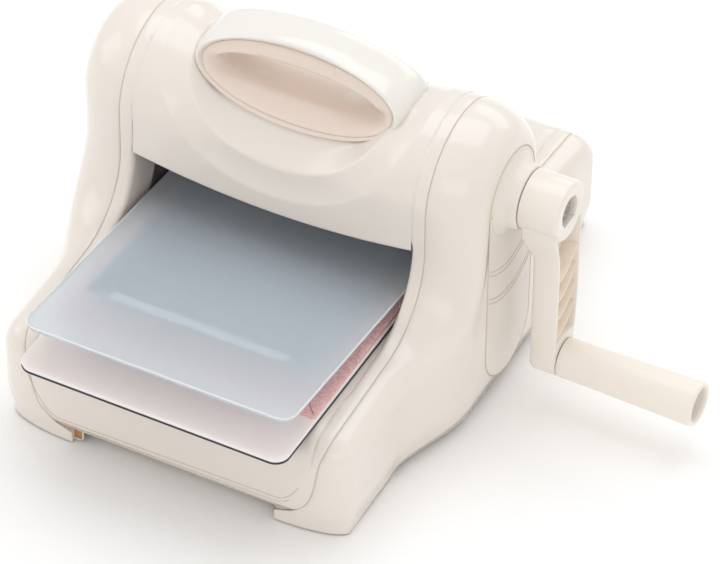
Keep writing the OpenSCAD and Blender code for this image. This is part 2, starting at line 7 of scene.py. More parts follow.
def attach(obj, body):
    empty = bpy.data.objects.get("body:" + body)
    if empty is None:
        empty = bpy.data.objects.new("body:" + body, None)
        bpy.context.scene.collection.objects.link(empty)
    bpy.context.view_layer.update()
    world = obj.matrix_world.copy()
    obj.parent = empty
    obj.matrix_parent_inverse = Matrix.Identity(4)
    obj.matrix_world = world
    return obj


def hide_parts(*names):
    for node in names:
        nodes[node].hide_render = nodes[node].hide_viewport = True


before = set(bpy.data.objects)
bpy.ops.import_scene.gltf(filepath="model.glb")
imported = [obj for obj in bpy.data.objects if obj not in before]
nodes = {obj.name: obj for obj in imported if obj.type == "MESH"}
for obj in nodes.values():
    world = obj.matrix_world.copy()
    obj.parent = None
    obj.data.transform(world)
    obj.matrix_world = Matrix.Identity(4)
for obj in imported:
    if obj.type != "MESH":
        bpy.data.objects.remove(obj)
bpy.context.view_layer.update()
print("frame loaded:", len(nodes), "nodes")

mm = 0.001


def clamp(value, low=0.0, high=1.0):
    return max(low, min(high, value))


def smooth(t):
    t = clamp(t)
    return t * t * (3 - 2 * t)


def mix(a, b, t):
    return a + (b - a) * t


def between(value, table):
    # straight lines between the points of a short table
    if value <= table[0][0]:
        return table[0][1]
    for (a, fa), (b, fb) in zip(table, table[1:]):
        if value <= b:
            return mix(fa, fb, (value - a) / (b - a))
    return table[-1][1]


def meshPiece(name, points, faces):
    # points are in millimetres
    mesh = bpy.data.meshes.new(name)
    mesh.from_pydata([Vector(p) * mm for p in points], [], faces)
    bm = bmesh.new()
    bm.from_mesh(mesh)
    bmesh.ops.remove_doubles(bm, verts=bm.verts, dist=0.00002)
    bmesh.ops.recalc_face_normals(bm, faces=bm.faces)
    bm.to_mesh(mesh)
    bm.free()
    obj = bpy.data.objects.new(name, mesh)
    bpy.context.scene.collection.objects.link(obj)
    mesh.shade_smooth()
    return obj


def surface(name, rows, closeRows=False, closeColumns=False):
    # a skin over rows of points, all of the same length
    points, faces = [], []
    for row in rows:
        points.extend(row)
    n, m = len(rows), len(rows[0])
    for i in range(n if closeRows else n - 1):
        for j in range(m if closeColumns else m - 1):
            a, b = i * m + j, i * m + (j + 1) % m
            c, d = ((i + 1) % n) * m + (j + 1) % m, ((i + 1) % n) * m + j
            faces.append((a, b, c, d))
    return meshPiece(name, points, faces)


def lathe(name, profile, y, z, steps=72):
    # profile is a list of (x, radius); it is turned about a line along X
    rows = []
    for k in range(steps):
        a = 2 * math.pi * k / steps
        rows.append([(x, y + r * math.cos(a), z + r * math.sin(a)) for x, r in profile])
    return surface(name, rows, closeRows=True)


def tube(name, path, radius, steps=8, closed=False):
    # a thin round cord of material along a path
    rows = []
    count = len(path)
    for i in range(count):
        before = path[i - 1] if (i or closed) else path[i]
        after = path[(i + 1) % count] if (closed or i < count - 1) else path[i]
        along = (Vector(after) - Vector(before)).normalized()
        side = along.cross(Vector((1, 0, 0) if abs(along.x) < 0.9 else (0, 0, 1))).normalized()
        up = along.cross(side)
        ring = []
        for k in range(steps):
            a = 2 * math.pi * k / steps
            ring.append(tuple(Vector(path[i]) + (side * math.cos(a) + up * math.sin(a)) * radius))
        rows.append(ring)
    return surface(name, rows, closeRows=closed, closeColumns=True)


def joined(name, parts):
    bm = bmesh.new()
    for part in parts:
        part.data.transform(part.matrix_world)
        bm.from_mesh(part.data)
        bpy.data.objects.remove(part)
    mesh = bpy.data.meshes.new(name)
    bm.to_mesh(mesh)
    bm.free()
    obj = bpy.data.objects.new(name, mesh)
    bpy.context.scene.collection.objects.link(obj)
    mesh.shade_smooth()
    return obj


def capEnds(obj):
    # fills the open ends of a closed outline
    bm = bmesh.new()
    bm.from_mesh(obj.data)
    bmesh.ops.holes_fill(bm, edges=bm.edges, sides=0)
    bmesh.ops.recalc_face_normals(bm, faces=bm.faces)
    bm.to_mesh(obj.data)
    bm.free()
    return obj


def sharpShading(obj, degrees):
    bm = bmesh.new()
    bm.from_mesh(obj.data)
    for edge in bm.edges:
        if len(edge.link_faces) == 2 and edge.calc_face_angle() > math.radians(degrees):
            edge.smooth = False
    bm.to_mesh(obj.data)
    bm.free()
    return obj


def thicken(obj, amount):
    wall = obj.modifiers.new("wall", "SOLIDIFY")
    wall.thickness = amount * mm
    wall.offset = -1
    return obj


def place(obj, material, body, standsFor=()):
    obj.data.materials.clear()
    obj.data.materials.append(material)
    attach(obj, body)
    if standsFor:
        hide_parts(*standsFor)


def newFinish(name):
    material = bpy.data.materials.new(name)
    material.use_nodes = True
    tree = material.node_tree
    shader = next(n for n in tree.nodes if n.type == "BSDF_PRINCIPLED")
    coords = tree.nodes.new("ShaderNodeTexCoord")
    return material, tree, shader, coords


def noiseNode(tree, coords, scale, detail, rough=0.55):
    noise = tree.nodes.new("ShaderNodeTexNoise")
    noise.inputs["Scale"].default_value = scale
    noise.inputs["Detail"].default_value = detail
    noise.inputs["Roughness"].default_value = rough
    tree.links.new(coords.outputs["Object"], noise.inputs["Vector"])
    return noise


def rampNode(tree, source, low, high, lowAt=0.3, highAt=0.7):
    ramp = tree.nodes.new("ShaderNodeValToRGB")
    ramp.color_ramp.elements[0].position = lowAt
    ramp.color_ramp.elements[1].position = highAt
    ramp.color_ramp.elements[0].color = (*low, 1)
    ramp.color_ramp.elements[1].color = (*high, 1)
    tree.links.new(source, ramp.inputs["Fac"])
    return ramp


def rangeNode(tree, source, low, high):
    spread = tree.nodes.new("ShaderNodeMapRange")
    spread.inputs["From Min"].default_value = 0.25
    spread.inputs["From Max"].default_value = 0.75
    spread.inputs["To Min"].default_value = low
    spread.inputs["To Max"].default_value = high
    tree.links.new(source, spread.inputs["Value"])
    return spread


def bumpNode(tree, shader, source, strength, distance, chained=None):
    bump = tree.nodes.new("ShaderNodeBump")
    bump.inputs["Strength"].default_value = strength
    bump.inputs["Distance"].default_value = distance
    tree.links.new(source, bump.inputs["Height"])
    if chained:
        tree.links.new(chained.outputs["Normal"], bump.inputs["Normal"])
    tree.links.new(bump.outputs["Normal"], shader.inputs["Normal"])
    return bump


def moulded(name, tone, shade, roughLow, roughHigh, grain=900.0, grainDepth=0.00004, coat=0.0, glow=0.0):
    # moulded plastic: slow cloudy tint, fine spark-eroded grain and long flow waves
    material, tree, shader, coords = newFinish(name)
    cloud = noiseNode(tree, coords, 9.0, 1.0)
    tint = rampNode(tree, cloud.outputs["Fac"], shade, tone, 0.2, 0.8)
    tree.links.new(tint.outputs["Color"], shader.inputs["Base Color"])
    smear = noiseNode(tree, coords, 46.0, 2.0, 0.5)
    tree.links.new(rangeNode(tree, smear.outputs["Fac"], roughLow, roughHigh).outputs["Result"],
                   shader.inputs["Roughness"])
    fine = noiseNode(tree, coords, grain, 2.0)
    first = bumpNode(tree, shader, fine.outputs["Fac"], 0.35, grainDepth)
    wave = noiseNode(tree, coords, 22.0, 1.0)
    bumpNode(tree, shader, wave.outputs["Fac"], 0.15, 0.00015, first)
    shader.inputs["Coat Weight"].default_value = coat
    shader.inputs["Coat Roughness"].default_value = 0.12
    shader.inputs["IOR"].default_value = 1.46
    shader.inputs["Subsurface Weight"].default_value = glow
    shader.inputs["Subsurface Radius"].default_value = (0.006, 0.004, 0.0025)
    shader.inputs["Subsurface Scale"].default_value = 1.0
    return material


def metal(name, tone, shade, roughLow, roughHigh, along=(1, 1, 1), scratch=400.0):
    # turned or rolled metal with fine lines drawn out along one direction
    material, tree, shader, coords = newFinish(name)
    stretch = tree.nodes.new("ShaderNodeMapping")
    stretch.inputs["Scale"].default_value = along
    tree.links.new(coords.outputs["Object"], stretch.inputs["Vector"])
    lines = tree.nodes.new("ShaderNodeTexNoise")
    lines.inputs["Scale"].default_value = scratch
    lines.inputs["Detail"].default_value = 4.0
    tree.links.new(stretch.outputs["Vector"], lines.inputs["Vector"])
    tint = rampNode(tree, lines.outputs["Fac"], shade, tone)
    tree.links.new(tint.outputs["Color"], shader.inputs["Base Color"])
    tree.links.new(rangeNode(tree, lines.outputs["Fac"], roughLow, roughHigh).outputs["Result"],
                   shader.inputs["Roughness"])
    bumpNode(tree, shader, lines.outputs["Fac"], 0.2, 0.00005)
    shader.inputs["Metallic"].default_value = 1.0
    return material


finishes = {
    "ivory": ((0.80, 0.742, 0.685), (0.792, 0.733, 0.675)),
    "gloss": ((0.815, 0.785, 0.745), (0.808, 0.777, 0.736)),
    "liningShade": ((0.80, 0.69, 0.615), (0.79, 0.68, 0.605)),
    "crank": ((0.85, 0.79, 0.725), (0.843, 0.782, 0.716)),
    "rib": ((0.87, 0.76, 0.64), (0.86, 0.75, 0.63)),
    "grip": ((0.87, 0.805, 0.73), (0.867, 0.80, 0.725)),
    "groove": ((0.66, 0.55, 0.43), (0.62, 0.51, 0.40)),
}
ivoryShell = moulded("ivoryShell", *finishes["ivory"], 0.20, 0.25, coat=0.6, glow=0.06)
ivoryGloss = moulded("ivoryGloss", *finishes["gloss"], 0.12, 0.17, grainDepth=0.00001, coat=0.8, glow=0.06)
# the handle lining and badge: a darker, warmer tone painted as the shade under the handle bar
liningPaintedShade = moulded("liningPaintedShade", *finishes["liningShade"], 0.22, 0.28, coat=0.2, glow=0.06)
ivoryPanel = moulded("ivoryPanel", *finishes["ivory"], 0.28, 0.36, grainDepth=0.00008, glow=0.06)
warmCrank = moulded("warmCrank", *finishes["crank"], 0.22, 0.28, coat=0.3, glow=0.03)
# the crank ribs: a warmer tone painted as the amber shade inside the arm's pocket
ribPaintedShade = moulded("ribPaintedShade", *finishes["rib"], 0.26, 0.32, glow=0.1)
warmGrip = moulded("warmGrip", *finishes["grip"], 0.27, 0.31, coat=0.1)
grooveShade = moulded("grooveShade", *finishes["groove"], 0.5, 0.6)
# painted warm shade for the recess inside the open front left foot
footRecessPaintedShade = moulded("footRecessPaintedShade", (0.55, 0.30, 0.14), (0.48, 0.25, 0.11), 0.5, 0.6)
floorPlastic = moulded("floorPlastic", (0.72, 0.67, 0.60), (0.68, 0.62, 0.55), 0.45, 0.6)
gearNylon = moulded("gearNylon", (0.75, 0.73, 0.68), (0.70, 0.68, 0.63), 0.4, 0.5)
padRubber = moulded("padRubber", (0.30, 0.29, 0.28), (0.25, 0.24, 0.23), 0.7, 0.85, grain=500.0)
darkSheetFilm = moulded("darkSheetFilm", (0.035, 0.045, 0.075), (0.025, 0.032, 0.055), 0.3, 0.4)
rollerSteel = metal("rollerSteel", (0.60, 0.60, 0.61), (0.52, 0.52, 0.53), 0.22, 0.36, (1, 6, 6))
plateSteel = metal("plateSteel", (0.55, 0.56, 0.57), (0.46, 0.47, 0.49), 0.32, 0.48, (1, 1, 6))
brightSteel = metal("brightSteel", (0.68, 0.68, 0.69), (0.60, 0.60, 0.62), 0.16, 0.28)
darkSteel = metal("darkSteel", (0.34, 0.32, 0.30), (0.26, 0.25, 0.24), 0.25, 0.4)
bushBronze = metal("bushBronze", (0.62, 0.45, 0.22), (0.52, 0.37, 0.18), 0.35, 0.5, scratch=900.0)


def clearSheet(name, tone, shade, rough, through):
    # clear or frosted sheet: even tint, faint drag marks and a fine frosted tooth
    material, tree, shader, coords = newFinish(name)
    cloud = noiseNode(tree, coords, 9.0, 2.0)
    tint = rampNode(tree, cloud.outputs["Fac"], shade, tone)
    tree.links.new(tint.outputs["Color"], shader.inputs["Base Color"])
    marks = noiseNode(tree, coords, 60.0, 6.0, 0.7)
    tree.links.new(rangeNode(tree, marks.outputs["Fac"], rough - 0.04, rough + 0.05).outputs["Result"],
                   shader.inputs["Roughness"])
    tooth = noiseNode(tree, coords, 1800.0, 2.0)
    bumpNode(tree, shader, tooth.outputs["Fac"], 0.2, 0.00003)
    shader.inputs["Transmission Weight"].default_value = through
    shader.inputs["IOR"].default_value = 1.42
    return material


frosted = clearSheet("frostedPlastic", (0.88, 0.93, 0.97), (0.86, 0.915, 0.96), 0.38, 0.64)
filmClear = clearSheet("folderFilm", (0.62, 0.75, 0.88), (0.60, 0.73, 0.86), 0.28, 0.4)
acrylicBase = clearSheet("mauveAcrylic", (0.88, 0.80, 0.775), (0.865, 0.785, 0.76), 0.20, 0.0)
stripFilm = moulded("stripFilm", (0.74, 0.82, 0.90), (0.72, 0.80, 0.885), 0.3, 0.4)
# painted highlight along the edges of the cutting plate and the base plate
rimPaintedHighlight = moulded("rimPaintedHighlight", (0.93, 0.94, 0.95), (0.90, 0.91, 0.93), 0.25, 0.35)


def speckledMat():
    # pink rubber mat with pale and dark crumbs in it
    material, tree, shader, coords = newFinish("speckledMat")
    cells = tree.nodes.new("ShaderNodeTexVoronoi")
    cells.inputs["Scale"].default_value = 620.0
    tree.links.new(coords.outputs["Object"], cells.inputs["Vector"])
    crumbs = noiseNode(tree, coords, 700.0, 3.0, 0.7)
    ramp = rampNode(tree, crumbs.outputs["Fac"], (0.70, 0.33, 0.34), (0.95, 0.66, 0.66))
    tree.links.new(ramp.outputs["Color"], shader.inputs["Base Color"])
    tree.links.new(rangeNode(tree, crumbs.outputs["Fac"], 0.75, 0.95).outputs["Result"],
                   shader.inputs["Roughness"])
    bumpNode(tree, shader, cells.outputs["Distance"], 0.5, 0.0003)
    return material


pinkMat = speckledMat()
print("finishes ready")

# the body's side view
body = {
    "frontDepth": 150.0, "backDepth": 143.0, "outerX": 118.6, "footX": 103.5, "seamX": 90.0,
    "mouthX": 82.0, "noseR": 16.0, "shoulderSlope": 5.0, "flareR": 42.0, "flareZ": 110.0,
    "axisZ": 133.5, "crownR": 42.5, "deckZ": 63.6, "footZ": 0.8, "sideLift": 4.5, "frontLift": 9.5,
    "noseRound": 10.0, "shoulderRound": 13.0, "crownRound": 17.0, "seamGap": 0.16,
}
seamLip = [(0.0, 3.0), (0.0, 0.5), (0.18, 0.12), (0.5, 0.0)]  # (distance from the seam, depth under the skin)
slope = math.radians(body["shoulderSlope"])
flareY = -(body["crownR"] + body["flareR"])


def noseZ(depth):
    r = body["flareR"] + body["noseR"]
    return body["flareZ"] - (r + (flareY + depth - body["noseR"]) * math.sin(slope)) / math.cos(slope)


def halfOutline(depth, low):
    # points (y, z, normal y, normal z, rounding) from the bottom of the front up to the top of the crown
    points = []
    nz = noseZ(depth)
    for k in range(15):
        points.append((-depth, mix(low, nz, k / 15), -1.0, 0.0, body["noseRound"]))
    for k in range(13):
        a = math.radians(mix(180, 90 + body["shoulderSlope"], k / 12))
        y, z = math.cos(a), math.sin(a)
        points.append((-depth + body["noseR"] + body["noseR"] * y, nz + body["noseR"] * z, y, z,
                       body["noseRound"]))
    noseEnd = points[-1]
    flareStart = (flareY + body["flareR"] * math.sin(slope),
                  body["flareZ"] - body["flareR"] * math.cos(slope))
    for k in range(1, 12):
        t = k / 12
        points.append((mix(noseEnd[0], flareStart[0], t), mix(noseEnd[1], flareStart[1], t),
                       -math.sin(slope), math.cos(slope), mix(body["noseRound"], body["shoulderRound"], t)))
    for k in range(25):
        a = math.radians(mix(body["shoulderSlope"] - 90, 0, k / 24))
        y, z = math.cos(a), math.sin(a)
        points.append((flareY + body["flareR"] * y, body["flareZ"] + body["flareR"] * z, -y, -z,
                       mix(body["shoulderRound"], body["crownRound"], k / 24)))
    for k in range(1, 6):
        points.append((-body["crownR"], mix(body["flareZ"], body["axisZ"], k / 6), -1.0, 0.0,
                       body["crownRound"]))
    for k in range(31):
        a = math.radians(mix(180, 90, k / 30))
        y, z = math.cos(a), math.sin(a)
        points.append((body["crownR"] * y, body["axisZ"] + body["crownR"] * z, y, z, body["crownRound"]))
    return points


def wholeOutline(low):
    front = halfOutline(body["frontDepth"], low)
    back = [(-y, z, -ny, nz, r) for y, z, ny, nz, r in halfOutline(body["backDepth"], low)]
    return front + back[-2::-1]


# where the side cover meets the front panel: it sweeps in towards the feet
cover = {
    "sweep": [(7.0, 60.0), (8.7, 67.0), (12.0, 72.6), (16.0, 77.0), (21.0, 80.2), (30.0, 83.0), (40.0, 84.6),
              (50.0, 86.4), (58.0, 88.6), (63.0, 90.0)],
    "sweepY": 118.0, "sweepLength": 18.0, "swellY": 96.0, "swellLength": 60.0, "bellyZ": 22.0,
    "bellyIn": 0.035, "footLength": 52.0, "footRun": 9.0, "endInset": 10.0, "hem": 3.0,
    "roundSteps": 14, "flatSteps": 16,
}


def depthAt(y):
    return body["frontDepth"] if y < 0 else body["backDepth"]


def seamAt(y, z):
    end = clamp((abs(y) - cover["sweepY"]) / cover["sweepLength"])
    return mix(body["seamX"], between(z, cover["sweep"]), end)


def outerAt(y, z):
    swell = smooth((cover["swellY"] - abs(y)) / cover["swellLength"])
    belly = 1.0 - cover["bellyIn"] * smooth((cover["bellyZ"] - z) / cover["bellyZ"])
    return mix(body["footX"], body["outerX"], swell) * belly


def lowEdge(y):
    lift = smooth((depthAt(y) - cover["footLength"] - abs(y)) / cover["footRun"])
    return mix(body["footZ"], body["sideLift"], lift)


def sideCover(name, side):
    outline = wholeOutline(body["footZ"])
    lengths = [0.0]
    for a, b in zip(outline, outline[1:]):
        lengths.append(lengths[-1] + math.hypot(b[0] - a[0], b[1] - a[1]))
    startY, endY = cover["endInset"] - body["frontDepth"], body["backDepth"] - cover["endInset"]
    rows = []
    for (y, z, ny, nz, rounding), s in zip(outline, lengths):
        lead = seamAt(y, z) + body["seamGap"]
        row = [(lead + inset, y - ny * depth, z - nz * depth) for inset, depth in seamLip]
        for k in range(1, cover["roundSteps"] + 1):
            a = math.pi / 2 * k / cover["roundSteps"]
            depth = rounding * (1 - math.cos(a))
            iy, iz = y - ny * depth, z - nz * depth
            row.append((mix(row[3][0], outerAt(iy, iz), math.sin(a)), iy, iz))
        py, pz = y - ny * rounding, z - nz * rounding
        qy = mix(startY, endY, s / lengths[-1])
        qz = lowEdge(qy)
        for k in range(1, cover["flatSteps"] + 1):
            t = k / cover["flatSteps"]
            iy, iz = mix(py, qy, t), mix(pz, qz, t)
            row.append((outerAt(iy, iz), iy, iz))
        row.append((outerAt(qy, qz) - cover["hem"], qy, qz))
        rows.append([(x * side, a, b) for x, a, b in row])
    return surface(name, rows)


for side, word in ((-1, "left"), (1, "right")):
    place(sideCover(word + "Cover", side), ivoryShell, "machine", (word + "_side_cover",))
print("side covers made")

# feet: hollow boxes under the corners, open towards the middle
feet = {
    "inset": 1.4, "reach": 50.0, "innerX": 60.0, "openX": 66.0, "outerX": 76.0, "lowZ": 2.2, "highZ": 9.2,
    "slim": 1.8, "cornerR": 2.4, "wall": 1.6, "lipDrop": 0.78,
}


def foot(name, side, front):
    depth = body["frontDepth"] if front else body["backDepth"]
    sign = -1 if front else 1
    inner = feet["openX"] if side < 0 and front else feet["innerX"]
    r = feet["cornerR"]
    turns = [math.pi / 2 * k / 4 for k in range(5)]
    rows = []
    for x, grow in ((inner + 1, 0.0), (inner + 0.2, 0.4), (inner, 0.9), (inner + 1.2, 1.2),
                    (feet["outerX"], 1.2)):
        low = feet["lowZ"] - grow * feet["lipDrop"]
        near = sign * (depth - feet["inset"]) + sign * (grow - feet["slim"])
        far = sign * (depth - feet["reach"]) - sign * (grow - feet["slim"])
        loop = [(x, near, feet["highZ"])]
        loop += [(x, near - sign * r * (1 - math.cos(a)), low + r * (1 - math.sin(a))) for a in turns]
        loop += [(x, far + sign * r * (1 - math.sin(a)), low + r * (1 - math.cos(a))) for a in turns]
        loop.append((x, far, feet["highZ"]))
        rows.append([(px * side, py, pz) for px, py, pz in loop])
    return thicken(surface(name, rows), feet["wall"])


for side, word in ((-1, "left"), (1, "right")):
    for front, end in ((True, "Front"), (False, "Back")):
        place(foot(word + end + "Foot", side, front), ivoryShell, "machine")

# the front left foot is open at its inner end; its inside is painted amber as the warm shade in that recess
openEnd = {"shadeDepth": 3.4, "rimDepth": 2.9, "cornerX": -57.2, "cornerR": 2.2, "rimR": 0.55}
shadeY = openEnd["shadeDepth"] - body["frontDepth"]
place(surface("footInside", [[(x, shadeY, z) for z in (1.4, 9.3)] for x in (-67.0, -55.4)]),
      footRecessPaintedShade, "machine")
rimY = openEnd["rimDepth"] - body["frontDepth"]
edgePath = [(-68.0, rimY, 1.3)]
for k in range(6):
    a = math.pi / 2 * k / 5
    edgePath.append((openEnd["cornerX"] + openEnd["cornerR"] * math.sin(a), rimY,
                     1.5 + openEnd["cornerR"] * (1 - math.cos(a))))
edgePath.append((openEnd["cornerX"] + openEnd["cornerR"], rimY, 9.0))
place(tube("footRim", edgePath, openEnd["rimR"]), ivoryShell, "machine")


# the panel between the covers: apron and deck
def deckOutline():
    points = []
    for depth, sign in ((body["frontDepth"], -1), (body["backDepth"], 1)):
        half = [(sign * (depth - 12), body["frontLift"], 0, -1),
                (sign * (depth - 3), body["frontLift"], 0, -1),
                (sign * (depth - 0.8), body["frontLift"] + 0.3, sign * 0.7, -0.7)]
        top = noseZ(depth)
        for k in range(1, 13):
            half.append((sign * depth, mix(body["frontLift"] + 0.4, top, k / 12), sign, 0))
        for k in range(13):
            a = math.radians(90 * k / 12)
            half.append((sign * (depth - body["noseR"] + body["noseR"] * math.cos(a)),
                         mix(top, body["deckZ"] - body["noseR"], k / 12) + body["noseR"] * math.sin(a),
                         sign * math.cos(a), math.sin(a)))
        points.append(half)
    front, back = points
    steps = [(mix(front[-1][0], back[-1][0], k / 8), body["deckZ"], 0, 1) for k in range(1, 8)]
    return front + steps + back[::-1]


def deckHalfWidth(y, z):
    if z <= noseZ(depthAt(y)) + 0.01:
        return seamAt(y, z) - body["seamGap"]
    return body["mouthX"] + 0.4


def frontPanel():
    rows = []
    for y, z, ny, nz in deckOutline():
        half = deckHalfWidth(y, z)
        edge = [(half - inset, d) for inset, d in seamLip]
        xs = [(-x, d) for x, d in edge] + [(mix(-half + 0.5, half - 0.5, k / 24), 0.0) for k in range(1, 24)]
        xs += [(x, d) for x, d in edge[::-1]]
        rows.append([(x, y - ny * d, z - nz * d) for x, d in xs])
    return surface("frontPanelAndDeck", rows)


place(frontPanel(), ivoryShell, "machine", ("base_tray",))


mouth = {"fromY": 35.0, "toY": 118.0, "topZ": 118.0, "edgeR": 3.0, "closedR": 0.02, "wallDepth": 26.0}


def mouthStrip(name, side):
    # the strip of the housing between the feed mouth and the seam, rounded where the mouth is open
    rows = []
    for y, z, ny, nz, rounding in wholeOutline(body["footZ"]):
        if z < noseZ(depthAt(y)) - 0.01:
            continue
        opened = (smooth((abs(y) - mouth["fromY"]) / 6) * smooth((mouth["toY"] - abs(y)) / 10)
                  * smooth((mouth["topZ"] - z) / 6))
        r = mix(mouth["closedR"], mouth["edgeR"], opened)
        inner = body["mouthX"]
        row = [(inner, y - ny * d, z - nz * d) for d in (mouth["wallDepth"], 12)]
        for k in range(6):
            a = math.pi / 2 * k / 5
            row.append((inner + r * (1 - math.cos(a)), y - ny * r * (1 - math.sin(a)),
                        z - nz * r * (1 - math.sin(a))))
        seam = seamAt(y, z) - body["seamGap"]
        for k in range(1, 4):
            row.append((mix(inner + r, seam - 0.5, k / 3), y, z))
        row += [(seam - inset, y - ny * d, z - nz * d) for inset, d in seamLip[2::-1]]
        rows.append([(x * side, a, b) for x, a, b in row])
    return surface(name, rows)


for side, word in ((-1, "left"), (1, "right")):
    place(mouthStrip(word + "MouthStrip", side), ivoryShell, "machine")
for side, word in ((-1, "left"), (1, "right")):
    path = [(seamAt(y, z) * side, y - ny * 0.42, z - nz * 0.42)
            for y, z, ny, nz, rounding in wholeOutline(body["footZ"])]
    place(tube(word + "SeamCord", path, 0.3, 6), grooveShade, "machine")
print("housing panels made")

# the crown over the rollers, with a dish on both sides of the handle
crown = {
    "lipZ": 102.5, "lipRise": 7.5, "lipWall": 2.6, "dishHalf": 76.0, "dishReach": 86.0, "dishPower": 2.2,
    "rimBand": 0.2, "rimDepth": 3.0, "bowlTurn": 0.22, "bowlDepth": 9.0, "troughDepth": 5.9, "step": 1.0,
    "cheekSteps": 24, "arcSteps": 60, "overlap": 0.3,
}


def dishDepth(x, s):
    # how far the dish lies under the crown's round, s along the arc from the top
    rho = ((abs(x) / crown["dishHalf"]) ** crown["dishPower"]
           + (abs(s) / crown["dishReach"]) ** crown["dishPower"]) ** (1 / crown["dishPower"])
    if rho >= 1:
        return 0.0
    edge = 1 - crown["rimBand"]
    if rho > edge:
        t = (1 - rho) / crown["rimBand"]
        return crown["rimDepth"] * t * (2 - t)
    inside = (edge - rho) / edge
    return (crown["rimDepth"] + crown["bowlDepth"] * math.sin(math.pi / 2 * clamp(inside / crown["bowlTurn"]))
            + crown["troughDepth"] * smooth(inside))


def crownRow(x):
    r = body["crownR"]
    arc = r * math.pi / 2
    lip = crown["lipZ"] + crown["lipRise"] * (x / body["mouthX"]) ** 2
    wall = crown["lipWall"]
    row = []
    for sign in (-1, 1):
        half = [(sign * (r - wall - dishDepth(x, arc + body["axisZ"] - lip - up)), lip + up)
                for up in (30, 26, 22, 18, 15, 12, 9, 6, 3, 1)]
        half += [(sign * (r - wall + 0.35), lip + 0.2), (sign * (r - 1.2), lip),
                 (sign * (r - 0.45), lip + 0.25), (sign * (r - 0.1), lip + 0.9)]
        for k in range(crown["cheekSteps"]):
            z = mix(lip + 1.8, body["axisZ"], k / crown["cheekSteps"])
            depth = dishDepth(x, arc + body["axisZ"] - z)
            half.append((sign * (r - depth), z))
        for k in range(crown["arcSteps"]):
            a = math.pi / 2 * k / crown["arcSteps"]
            depth = dishDepth(x, arc - r * a)
            half.append((sign * (r - depth) * math.cos(a), body["axisZ"] + (r - depth) * math.sin(a)))
        if sign < 0:
            row += half + [(0.0, body["axisZ"] + r - dishDepth(x, 0))]
        else:
            row += half[::-1]
    return [(x, y, z) for y, z in row]


crownHalf = body["mouthX"] + crown["overlap"]
count = int(2 * crownHalf / crown["step"])
crownRows = [crownRow(mix(-crownHalf, crownHalf, k / count)) for k in range(count + 1)]
place(surface("crownShell", crownRows), ivoryShell, "machine", ("centre_housing",))
print("crown made")

# carry handle: an arched bar over an eye-shaped opening
handle = {
    "halfWidth": 57.0, "halfHeight": 21.3, "centreZ": 170.3, "openHalf": 47.5, "openHeight": 10.6,
    "openZ": 169.6, "topY": 14.0, "lean": 0.2857, "topZ": 192.0, "archR": 95.0, "archTop": 195.2,
    "badgeHalf": 24.0, "shiftX": 2.5, "backShare": 0.74, "seamT": 0.155, "barFrom": -34.0, "barTo": 214.0,
    "barHalf": 62.0, "barSpread": 1.07, "barPower": 0.68,
}


def faceY(z):
    # the ring round the opening stands further out towards the bottom
    return handle["topY"] + handle["lean"] * (handle["topZ"] - z)


def shareOf(face):
    # the back of the handle is shallower than the front
    return handle["backShare"] if face > 0 else 1


def ringPoint(a, t):
    # a turns round the ring, t goes from the outer edge to the opening
    power = mix(2.0, 2.35, t)
    c, s = math.cos(a), math.sin(a)
    x = math.copysign(abs(c) ** (2 / power), c) * mix(handle["halfWidth"], handle["openHalf"], t)
    z = mix(handle["centreZ"], handle["openZ"], t) \
        + math.copysign(abs(s) ** (2 / power), s) * mix(handle["halfHeight"], handle["openHeight"], t)
    return x + handle["shiftX"], z


def liningRing(name, face):
    # face is -1 for the front and 1 for the back; the lower half falls away into the opening
    rows = []
    for k in range(160):
        a = 2 * math.pi * k / 160
        low = smooth((0.45 - math.sin(a)) / 0.9)
        row = []
        for t in (-0.03, 0.0, 0.03, 0.07, 0.11, 0.14, handle["seamT"], 0.17, 0.2, 0.3, 0.42, 0.55, 0.68, 0.8,
                  0.9, 0.97, 1.0):
            roll = 1.3 * smooth(t / 0.14) + 0.12
            seam = 0.5 * max(0.0, 1 - abs(t - handle["seamT"]) / 0.016)
            fall = 9.5 * low * clamp((t - 0.17) / 0.83) ** 1.7
            turn = 2.2 * (1 - low) * clamp((t - 0.9) / 0.1) ** 2
            x, z = ringPoint(a, t)
            y = (faceY(z) - roll - seam - fall - turn) * shareOf(face)
            row.append((x, face * y, z))
        x, z = ringPoint(a, 1.02)
        row.append((x, face * 4.0, z))
        row.append((x, 0.0, z))
        rows.append(row)
    return surface(name, rows, closeRows=True)


def ringCord(name, t, radius, face):
    path = []
    for k in range(160):
        x, z = ringPoint(2 * math.pi * k / 160, t)
        path.append((x, face * (faceY(z) - 1.5) * shareOf(face), z))
    return tube(name, path, radius, 6, closed=True)


# the lining's tone is painted shade from the bar above it
for face, word in ((-1, "front"), (1, "back")):
    place(liningRing(word + "HandleLining", face), liningPaintedShade, "machine",
          ("handle_insert",) if face < 0 else ())


def archTop(x):
    # height of the bar's top edge
    return handle["archTop"] - handle["archR"] + math.sqrt(handle["archR"] ** 2 - x * x)


